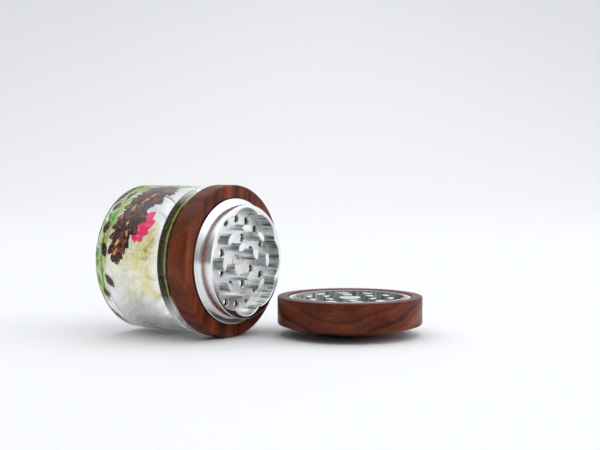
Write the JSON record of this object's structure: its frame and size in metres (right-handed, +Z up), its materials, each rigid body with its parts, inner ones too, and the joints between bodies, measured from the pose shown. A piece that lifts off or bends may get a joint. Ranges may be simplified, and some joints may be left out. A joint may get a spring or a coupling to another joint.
{
  "type": "herb grinder jar",
  "caption": "Herb grinder built on a round glass storage jar: walnut collar with a toothed aluminium plate, and a matching walnut lid lying open beside it.",
  "frame": {"origin": "bottom centre of the whole object's box, on the surface it lies on", "axes": "+X along the jar's axis from its base to its mouth, +Y from the jar towards the loose lid, +Z up"},
  "size_m": [0.1396, 0.115, 0.076],
  "materials": {
    "collar_walnut": "oiled walnut, satin",
    "plate_aluminium": "machined, clear anodised, satin",
    "thread_ring_aluminium": "turned, plain",
    "plate_magnet_nickel": "nickel plated",
    "seal_silicone": "translucent silicone",
    "jar_glass": "clear, with a printed pattern",
    "lid_walnut": "oiled walnut, satin",
    "insert_aluminium": "machined, clear anodised, satin",
    "lid_magnet_nickel": "nickel plated",
    "glide_nylon": "grey nylon"
  },
  "bodies": {
    "collar": {"collar_ring": "collar_walnut", "grinder_plate": "plate_aluminium", "thread_ring": "thread_ring_aluminium", "plate_magnet": "plate_magnet_nickel"},
    "seal": {"jar_seal": "seal_silicone"},
    "jar": {"glass_jar": "jar_glass"},
    "glide": {"glide_ring": "glide_nylon"},
    "magnet": {"lid_magnet": "lid_magnet_nickel"},
    "lid": {"lid_cap": "lid_walnut", "lid_insert": "insert_aluminium"}
  },
  "joints": [
    {"name": "jar_draw", "type": "slide", "parent": "collar", "child": "seal", "axis": [-1, 0, 0], "range_m": [0, 0.008]},
    {"name": "jar_unscrew", "type": "hinge", "parent": "seal", "child": "jar", "pos_m": [-0.0093, -0.01955, 0.038], "axis": [-1, 0, 0], "range_deg": [0, 720]},
    {"name": "lid_swing", "type": "hinge", "parent": "collar", "child": "glide", "pos_m": [0.00667, 0.00299, 0.01523], "axis": [0.5359, -0.6524, -0.5359], "range_deg": [0, 113.76]},
    {"name": "lid_push", "type": "slide", "parent": "glide", "child": "magnet", "axis": [0, 0, 1], "range_m": [0, 0.01]},
    {"name": "lid_turn", "type": "hinge", "parent": "magnet", "child": "lid", "pos_m": [0.0332, 0.02095, 0.0199], "axis": [0, 0, 1], "continuous": true}
  ],
  "couplings": [
    {"joint": "jar_draw", "follows": "jar_unscrew", "m_per_rad": 0.0006366}
  ]
}
